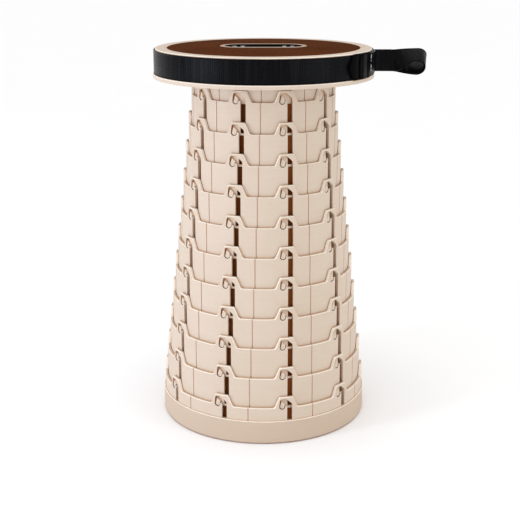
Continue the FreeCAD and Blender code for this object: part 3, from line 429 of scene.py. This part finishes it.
def dress(node, material):
    """Gives a CAD node one finish."""
    node.data.materials.clear()
    node.data.materials.append(material)


def dress_frame():
    """Gives every CAD node the finish of its material slot, and the bezel a darker copy of the beige
    as painted shade.
    """
    for entry in frame["record"]["subparts"]:
        dress(frame["nodes"][entry["node"]], SLOT_FINISH[entry["material_slot"]])
    dress(frame["nodes"]["handle_bezel"], bezel_shaded_beige)


# Meshes

SHARP_ANGLE = math.radians(60)


def spot(azimuth, radius, height):
    """A point at an azimuth in degrees, a distance from the stool's axis and a height."""
    angle = math.radians(azimuth)
    return Vector((radius * math.sin(angle), -radius * math.cos(angle), height))


def smooth_step(value, start, end):
    """A share that eases from 0 at the start to 1 at the end."""
    share = min(1.0, max(0.0, (value - start) / (end - start)))
    return share * share * (3 - 2 * share)


def finish_mesh(mesh, name, material, smooth_angle=40.0):
    """Turns a bmesh into an object with one material, smooth but for its sharp edges."""
    data = bpy.data.meshes.new(name)
    mesh.to_mesh(data)
    mesh.free()
    piece = bpy.data.objects.new(name, data)
    bpy.context.scene.collection.objects.link(piece)
    data.materials.append(material)
    data.shade_smooth()
    data.set_sharp_from_angle(angle=math.radians(smooth_angle))
    return piece


def close(mesh, reach=0.005 * MM):
    """Merges doubles and turns every face outwards."""
    bmesh.ops.remove_doubles(mesh, verts=mesh.verts, dist=reach)
    bmesh.ops.recalc_face_normals(mesh, faces=mesh.faces)


def round_sharp_edges(mesh, radius):
    """Rounds every edge between two faces that meet at more than the sharp angle."""
    sharp = [edge for edge in mesh.edges
             if edge.is_manifold and edge.calc_face_angle(0.0) > SHARP_ANGLE]
    bmesh.ops.bevel(mesh, geom=sharp, offset=radius, offset_type="OFFSET", affect="EDGES",
                    segments=3, profile=0.5, material=-1, clamp_overlap=True)


def closed_outline(mesh, points):
    """A closed row of vertices and edges through a few points."""
    verts = [mesh.verts.new(point) for point in points]
    return verts, closed_edges(mesh, verts)


def closed_edges(mesh, verts):
    """Edges from each vertex to the next one and from the last to the first."""
    return [mesh.edges.new(pair) for pair in zip(verts, verts[1:] + verts[:1])]


def circle_row(mesh, count, radius):
    """A circle of vertices about the axis, turned so that none lies on the X or Y axis."""
    turn = Matrix.Rotation(math.pi / count, 4, "Z")
    return bmesh.ops.create_circle(mesh, segments=count, radius=radius, matrix=turn)["verts"]


def row_edges(row):
    """The edges between a row's own vertices."""
    inside = set(row)
    return list({edge for vert in row for edge in vert.link_edges
                 if edge.other_vert(vert) in inside})


def bridge_rows(mesh, rows):
    """Faces from each row to the next one and from the last to the first."""
    for row, following in zip(rows, rows[1:] + rows[:1]):
        bmesh.ops.bridge_loops(mesh, edges=row_edges(row) + row_edges(following))


# The seat


def webbing_section(thickness, width, bead):
    """Corners of a webbing's cross section: a flat band with a thicker bead along both edges.

    The first number of a corner is how far it stands out, the second runs across the band.
    """
    groove = 0.12 * thickness
    corner = 0.25 * thickness
    half = width / 2
    face = [
        (thickness - corner, half),
        (thickness, half - corner),
        (thickness, half - bead),
        (thickness - groove, half - 1.25 * bead),
        (thickness - groove / 2, half - 1.7 * bead),
    ]
    front = face + [(out, -across) for out, across in reversed(face)]
    back = [(corner, -half), (0, -half + corner), (0, half - corner), (corner, half)]
    return front + back


def side_strap():
    """The webbing that runs all the way round the seat: its section spun about the axis."""
    mesh = bmesh.new()
    section = webbing_section(STRAP_THICKNESS, STRAP_WIDTH, STRAP_BEAD)
    points = [spot(0, STRAP_INSIDE + out, STRAP_MIDDLE + across) for out, across in section]
    verts, edges = closed_outline(mesh, points)
    bmesh.ops.spin(mesh, geom=verts + edges, cent=AXIS, axis=UP, angle=2 * math.pi,
                   steps=180, use_merge=True)
    close(mesh)
    piece = finish_mesh(mesh, "strap_band", strap_webbing)
    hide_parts("side_strap")
    return piece


def leather_rows(edge_top, crown):
    """The rows of the leather top, from its lower outer edge over the top and down its hole.

    A row's first number is its share of the way to the hole, its second how far it lies inside
    the outline there, and its third its height.
    """
    roll = 0.9 * MM
    roll_steps = 4
    crown_steps = 14
    fold = 0.5 * MM
    fold_steps = 3
    rows = [(0.0, 0.0, pad_low.z), (0.0, 0.0, edge_top - roll)]
    for step in range(1, roll_steps + 1):
        angle = math.radians(90 * step / roll_steps)
        rows.append((0.0, roll * (1 - math.cos(angle)), edge_top - roll * (1 - math.sin(angle))))
    for step in range(1, crown_steps):
        share = step / crown_steps
        height = edge_top + crown * math.sin(0.5 * math.pi * share)
        rows.append((share, roll * (1 - share), height))
    for step in range(fold_steps + 1):
        angle = math.radians(90 * step / fold_steps)
        sunk = fold * (1 - math.cos(angle)) + 0.5 * fold * math.sin(angle)
        rows.append((1.0, -fold * math.cos(angle), edge_top + crown - sunk))
    rows.append((1.0, 0.0, pad_low.z))
    return rows


def leather_pad():
    """The leather top: thin and crowned, with a turned edge and an oblong hole.

    Each row is a circle whose vertices move towards the hole's outline by the row's share.
    """
    hole_radius = bezel_high.y + 0.3 * MM
    edge_top = pad_low.z + 2.4 * MM
    crown = bezel_high.z - 0.05 * MM - edge_top
    mesh = bmesh.new()
    circles = []
    for share, inset, height in leather_rows(edge_top, crown):
        row = circle_row(mesh, 144, pad_high.x - inset)
        for vert in row:
            angle = math.atan2(vert.co.y, vert.co.x)
            straight = math.copysign(OPENING_STRAIGHT, math.cos(angle))
            reach = hole_radius - inset
            hole = Vector((straight + reach * math.cos(angle), reach * math.sin(angle), 0))
            vert.co = vert.co.lerp(hole, share)
            vert.co.z = height
        circles.append(row)
    bridge_rows(mesh, circles)
    close(mesh)
    piece = finish_mesh(mesh, "leather_top", leather, 60.0)
    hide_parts("seat_pad")
    return piece


def cup_lip():
    """The cup's thin black lip, which lines the beige frame of the opening."""
    outside = bezel_high.y - BEZEL_WIDTH - 0.03 * MM
    inside = outside - 0.3 * MM
    bottom = bezel_low.z + 0.4 * MM
    top = bezel_high.z - 0.15 * MM
    mesh = bmesh.new()
    rows = []
    for reach, height in ((outside, bottom), (outside, top), (inside, top), (inside, bottom)):
        row = circle_row(mesh, 96, reach)
        for vert in row:
            vert.co.x += math.copysign(OPENING_STRAIGHT, vert.co.x)
            vert.co.z = height
        rows.append(row)
    bridge_rows(mesh, rows)
    close(mesh)
    return finish_mesh(mesh, "cup_lip", cup_black)


# Webbing that is swept along a path


def ribbon(name, section, stations):
    """Webbing swept along stations, each a matrix whose X stands out and whose Y runs across.

    The UV map holds the way along and the place across, in metres.
    """
    mesh = bmesh.new()
    along = mesh.verts.layers.float.new("along")
    across_layer = mesh.verts.layers.float.new("across")
    points = [stations[0] @ Vector((out, across, 0)) for out, across in section]
    first, edges = closed_outline(mesh, points)
    for vert, corner in zip(first, section):
        vert[across_layer] = corner[1]
    travelled = 0.0
    for before, after in zip(stations, stations[1:]):
        travelled += (after.translation - before.translation).length
        last = [mesh.verts.new(after @ Vector((out, across, 0))) for out, across in section]
        for vert, corner in zip(last, section):
            vert[along] = travelled
            vert[across_layer] = corner[1]
        around = closed_edges(mesh, last)
        bmesh.ops.bridge_loops(mesh, edges=edges + around)
        edges = around
    for end in (first, last):
        bmesh.ops.contextual_create(mesh, geom=end)
    bmesh.ops.recalc_face_normals(mesh, faces=mesh.faces)
    uv = mesh.loops.layers.uv.new("ribbon")
    for face in mesh.faces:
        for corner in face.loops:
            corner[uv].uv = (corner.vert[along], corner.vert[across_layer])
    return finish_mesh(mesh, name, ribbon_webbing, 50.0)


def station(out, width, forward, centre):
    """A station's matrix, from its three directions and its centre."""
    matrix = Matrix((out, width, forward)).transposed().to_4x4()
    matrix.translation = centre
    return matrix


def loop_station(centre_x, across, heading, height):
    """A station of the hand loop: the webbing stands upright at its neck and rolls over to its end."""
    roll_start = 146 * MM
    roll = math.radians(60.0) * smooth_step(centre_x, roll_start, 179 * MM)
    sunk = 1.5 * MM * smooth_step(centre_x, roll_start, 185 * MM)
    lean = math.radians(9.0) * smooth_step(centre_x, 150 * MM, 186 * MM)
    apart = Vector((0, math.cos(roll), -math.sin(roll)))
    width = Vector((math.sin(lean), math.cos(lean) * math.sin(roll), math.cos(lean) * math.cos(roll)))
    centre = Vector((centre_x, 0, height - sunk)) + across * apart
    forward = heading[0] * Vector((1, 0, 0)) + heading[1] * apart
    out = forward.cross(width).normalized()
    return station(out, width, forward, centre)


def loop_path():
    """The loop's middle line in plan: out along the front, round the end and back."""
    half_gap = LOOP_THICKNESS / 2 + 0.05 * MM
    end_radius = 9.6 * MM
    end_centre = loop_high.x - end_radius - LOOP_THICKNESS / 2 - 0.2 * MM
    root = loop_low.x + 0.4 * MM
    neck = 143 * MM
    side_steps = 44
    end_steps = 24
    side = []
    for index in range(side_steps + 1):
        x = root + (end_centre - root) * index / side_steps
        side.append((x, half_gap + (end_radius - half_gap) * smooth_step(x, neck, end_centre)))
    end = []
    for index in range(1, end_steps):
        angle = math.radians(-90 + 180 / end_steps * index)
        end.append((end_centre + end_radius * math.cos(angle), end_radius * math.sin(angle)))
    return [(x, -across) for x, across in side] + end + side[::-1]


def hand_loop():
    """The hand loop: webbing out along the front, round the end and back, sewn at its neck."""
    height = (loop_low.z + loop_high.z) / 2
    path = loop_path()
    stations = []
    for index, (x, across) in enumerate(path):
        before = path[max(0, index - 1)]
        after = path[min(len(path) - 1, index + 1)]
        heading = Vector((after[0] - before[0], after[1] - before[1])).normalized()
        stations.append(loop_station(x, across, heading, height))
    section = [(out - LOOP_THICKNESS / 2, across)
               for out, across in webbing_section(LOOP_THICKNESS, TAIL_WIDTH, TAIL_BEAD)]
    piece = ribbon("hand_loop_webbing", section, stations)
    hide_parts("strap_loop")
    return piece


def round_station(azimuth, radius):
    """A station of webbing that lies round the seat."""
    out = spot(azimuth, 1, 0)
    return station(out, UP, out.cross(UP), spot(azimuth, radius, TAIL_MIDDLE))


def strap_return():
    """The outer layer of webbing between the buckle and the hand loop, thin where it is sewn."""
    first = BUCKLE_AZIMUTH + 9.4
    last = 87.0
    taper = 2.4
    steps = 32
    stations = []
    for index in range(steps + 1):
        azimuth = first + (last - first) * index / steps
        full = smooth_step(azimuth, first, first + taper) * smooth_step(last - azimuth, 0, taper)
        thin = Matrix.Diagonal((0.1 + 0.9 * full, 1, 1, 1))
        stations.append(round_station(azimuth, STRAP_OUTSIDE + LAYER_GAP) @ thin)
    section = webbing_section(LAYER_THICKNESS, TAIL_WIDTH, TAIL_BEAD)
    return ribbon("strap_return", section, stations)


def bar_webbing():
    """The webbing that comes up through the buckle, over its middle bar and down again."""
    over = BUCKLE_INSIDE + BUCKLE_BAR_DEPTH + LAYER_GAP
    start = BUCKLE_AZIMUTH - 0.4
    end = BUCKLE_AZIMUTH + 4.9
    steepness = 5.5
    steps = 24
    stations = []
    for index in range(steps + 1):
        share = index / steps
        azimuth = start + (end - start) * share
        rise = min(1.0, steepness * min(share, 1 - share))
        radius = BUCKLE_INSIDE + (over - BUCKLE_INSIDE) * math.sin(0.5 * math.pi * rise)
        stations.append(round_station(azimuth, radius))
    section = webbing_section(LAYER_THICKNESS, TAIL_WIDTH, TAIL_BEAD)
    piece = ribbon("buckle_webbing", section, stations)
    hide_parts("strap_tail")
    return piece


# The buckle, the stitches and the sheets of painted shade behind the slots


def slider_buckle():
    """The slider: a curved frame with a broad bowed bar, a middle bar and a narrow bar.

    It is cut flat, with its length in degrees round the seat, and then bent round the strap.
    """
    height = buckle_high.z - buckle_low.z - 0.6 * MM
    rail = 1.9 * MM
    degree = math.radians(STRAP_OUTSIDE)

    # Each bar or window runs from one of these places to the next one.
    columns = [-6.2, -2.9, 0.6, 4.0, 6.8, 9.8]
    windows = ((columns[1], columns[2]), (columns[3], columns[4]))
    rows = [-height / 2, -height / 2 + rail, height / 2 - rail, height / 2]
    spans = (len(columns) - 1, len(rows) - 1)
    mesh = bmesh.new()
    bmesh.ops.create_grid(mesh, x_segments=spans[0], y_segments=spans[1], size=0.5)
    for vert in mesh.verts:
        column = round((vert.co.x + 0.5) * spans[0])
        row = round((vert.co.y + 0.5) * spans[1])
        vert.co = Vector((columns[column] * degree, rows[row], 0))
    opened = []
    for face in mesh.faces:
        centre = face.calc_center_median()
        between_rails = abs(centre.y) < height / 4
        if between_rails and any(low < centre.x / degree < high for low, high in windows):
            opened.append(face)
    bmesh.ops.delete(mesh, geom=opened, context="FACES")
    tall = [edge for edge in mesh.edges if edge.calc_length() > height / 2]
    bmesh.ops.subdivide_edges(mesh, edges=tall, cuts=11, use_grid_fill=True)

    # The broad bar bows outwards, most at its outer edge.
    for vert in mesh.verts:
        bow = 1 - (2 * vert.co.y / height) ** 2
        if vert.co.x < (columns[1] - 0.1) * degree:
            vert.co.x -= 4.0 * bow * degree
        elif vert.co.x < (columns[1] + 0.1) * degree:
            vert.co.x -= 0.6 * bow * degree
    extruded = bmesh.ops.extrude_face_region(mesh, geom=list(mesh.faces))["geom"]
    raised = [item for item in extruded if isinstance(item, bmesh.types.BMVert)]
    bmesh.ops.translate(mesh, verts=raised, vec=(0, 0, BUCKLE_BAR_DEPTH))
    bmesh.ops.recalc_face_normals(mesh, faces=mesh.faces)
    round_sharp_edges(mesh, 0.6 * MM)
    for vert in mesh.verts:
        azimuth = BUCKLE_AZIMUTH + vert.co.x / degree
        vert.co = spot(azimuth, BUCKLE_INSIDE + vert.co.z, STRAP_MIDDLE + vert.co.y + 0.4 * MM)
    close(mesh)
    piece = finish_mesh(mesh, "slider_buckle", buckle_black, 45.0)
    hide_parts("strap_buckle")
    return piece


def stitches():
    """Thread across the webbing beside the buckle: short upright stitches in one row."""
    mesh = bmesh.new()
    radius = STRAP_OUTSIDE + LAYER_GAP + LAYER_THICKNESS
    for middle, length in ((8.6, 5.2), (4.0, 1.2), (-2.2, 3.6), (-6.6, 2.6)):
        made = bmesh.ops.create_cone(mesh, cap_ends=True, segments=8, radius1=STITCH_RADIUS,
                                     radius2=STITCH_RADIUS, depth=length * MM)["verts"]
        place = spot(STITCH_AZIMUTH, radius, STRAP_MIDDLE + middle * MM)
        bmesh.ops.translate(mesh, verts=made, vec=place)
    round_sharp_edges(mesh, 0.3 * MM)
    close(mesh)
    return finish_mesh(mesh, "bar_stitches", thread, 60.0)


def slot_shade_sheets(index):
    """Ten dark strips of painted shade just inside a ring's wall, behind its slots."""
    radius = COLLAR_RADIUS + RADIUS_STEP * index - WALL - 0.12 * MM
    bottom = BASE_FLOOR + PITCH * (RINGS - index) + 1.0 * MM
    height = 33.6 * MM
    width = 8.4 * MM
    mesh = bmesh.new()
    for column in range(COLUMNS):
        azimuth = FIRST_AZIMUTH - TWIST_STEP * index + COLUMN_STEP * column
        made = bmesh.ops.create_grid(mesh, x_segments=4, y_segments=1, size=0.5)["verts"]
        for vert in made:
            turn = math.degrees(vert.co.x * width / radius)
            vert.co = spot(azimuth + turn, radius, bottom + height * (vert.co.y + 0.5))
    bmesh.ops.solidify(mesh, geom=list(mesh.faces), thickness=0.25 * MM)
    close(mesh)
    piece = finish_mesh(mesh, f"slot_shade_sheets_{index:02d}", inside_shade_finish)
    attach(piece, f"ring_{index:02d}" if index < RINGS else "base")
    return piece


# The stool


dress_frame()

for piece in (side_strap(), strap_return(), bar_webbing()):
    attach(piece, "seat")

top = leather_pad()
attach(top, "seat")

lip = cup_lip()
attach(lip, "seat")

loop = hand_loop()
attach(loop, "hand_loop")

buckle = slider_buckle()
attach(buckle, "seat")

sewing = stitches()
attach(sewing, "seat")

# Dark sheets of painted shade behind every ring's slots.
for index in range(1, RINGS + 1):
    slot_shade_sheets(index)


# Floor, light and camera

WHITE = (1.0, 1.0, 1.0)
COOL = (0.88, 0.98, 1.16)
FAINTLY_COOL = (0.96, 1.0, 1.04)
LAMP_AIM = Vector((0, 0, 0.25))

# The photograph's view, fitted to the outlines of the rings and the seat.
CAMERA_PLACE = (0, -1.2603, 0.5646)
CAMERA_DROP = 0.2568
CAMERA_LENS = 73.544
CAMERA_SENSOR = 36.0
CAMERA_SHIFT = (-0.00675, -0.07)


def pale_floor():
    """A wide plain floor."""
    mesh = bmesh.new()
    bmesh.ops.create_circle(mesh, cap_ends=True, segments=64, radius=40.0)
    piece = finish_mesh(mesh, "floor", pale_ground())
    return piece


def lamp(name, kind, power, tint):
    """A lamp of a kind, with its power and its tint, still at the origin."""
    data = bpy.data.lights.new(name, kind)
    data.energy = power
    data.color = tint
    piece = bpy.data.objects.new(name, data)
    bpy.context.scene.collection.objects.link(piece)
    piece.rotation_mode = "QUATERNION"
    return piece


def sun(name, azimuth, elevation, power, spread, tint):
    """Soft light from a direction; spread is its width in degrees."""
    piece = lamp(name, "SUN", power, tint)
    piece.data.angle = math.radians(spread)
    direction = spot(azimuth, math.cos(math.radians(elevation)), math.sin(math.radians(elevation)))
    piece.rotation_quaternion = direction.to_track_quat("Z", "Y")
    return piece


def softbox(name, azimuth, distance, height, width, tall, power, tint):
    """An upright soft panel that faces the stool."""
    piece = lamp(name, "AREA", power, tint)
    piece.data.shape = "RECTANGLE"
    piece.data.size = width
    piece.data.size_y = tall
    piece.location = spot(azimuth, distance, height)
    piece.rotation_quaternion = (LAMP_AIM - piece.location).to_track_quat("-Z", "Y")
    return piece


def studio():
    """A white room, a light from above, a soft key from the left and a weaker one from the right."""
    world = bpy.data.worlds.new("white_room")
    world.use_nodes = True
    background = world.node_tree.nodes["Background"].inputs
    background["Color"].default_value = WHITE + (1.0,)
    background["Strength"].default_value = 0.87
    bpy.context.scene.world = world
    sun("top_light", azimuth=0, elevation=88, power=0.74, spread=40, tint=WHITE)
    softbox("left_box", azimuth=-60, distance=1.5, height=0.4, width=0.3, tall=0.65, power=8.8,
            tint=COOL)
    softbox("right_box", azimuth=54, distance=1.5, height=0.4, width=0.25, tall=0.6, power=3.8,
            tint=FAINTLY_COOL)
    bpy.context.scene.view_settings.view_transform = "Standard"
    bpy.context.scene.view_settings.look = "None"


def camera():
    """The photograph's view: a little above the seat, looking slightly down."""
    data = bpy.data.cameras.new("camera")
    data.sensor_width = CAMERA_SENSOR
    data.lens = CAMERA_LENS
    data.shift_x, data.shift_y = CAMERA_SHIFT
    data.clip_end = 100.0
    piece = bpy.data.objects.new("camera", data)
    bpy.context.scene.collection.objects.link(piece)
    piece.location = CAMERA_PLACE
    piece.rotation_euler = (math.radians(90) - CAMERA_DROP, 0, 0)
    bpy.context.scene.camera = piece


pale_floor()
studio()
camera()
